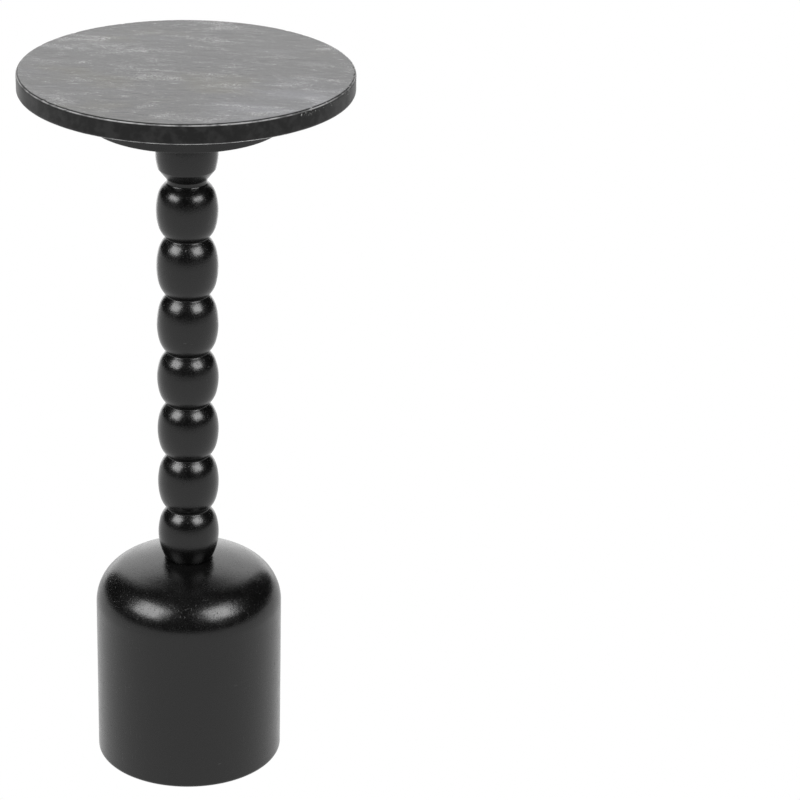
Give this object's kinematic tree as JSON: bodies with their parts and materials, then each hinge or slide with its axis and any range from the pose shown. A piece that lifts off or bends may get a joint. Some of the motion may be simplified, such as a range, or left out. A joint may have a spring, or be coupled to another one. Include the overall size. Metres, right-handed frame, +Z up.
{
  "type": "round pedestal table",
  "caption": "Small round side table: a slate disc on a beaded turned wooden stem and a domed cylindrical base, black lacquered, standing on felt pads.",
  "frame": {"origin": "middle of the floor under the table, on the stem's axis", "axes": "+Z up along the stem, from the floor to the slate; +X and +Y are level, and the table is round about Z apart from its hardware and pads"},
  "size_m": [0.279, 0.279, 0.635],
  "materials": {
    "slate": "honed, slightly cleft slate",
    "resin": "cured resin",
    "lacquered_wood": "satin black lacquer",
    "zinc_hardware": "zinc plated",
    "brass_insert": "machined",
    "felt": "pressed felt"
  },
  "bodies": {
    "root": {"slate_top": "slate", "slate_bond": "resin", "top_plate": "lacquered_wood", "tee_nut": "zinc_hardware", "top_stud": "zinc_hardware", "stem_head_insert": "brass_insert", "stem": "lacquered_wood", "stem_foot_insert": "brass_insert", "base_body": "lacquered_wood", "plain_washer": "zinc_hardware", "spring_washer": "zinc_hardware", "base_bolt": "zinc_hardware", "foot_pad_1": "felt", "foot_pad_2": "felt", "foot_pad_3": "felt", "foot_pad_4": "felt"}
  },
  "joints": []
}
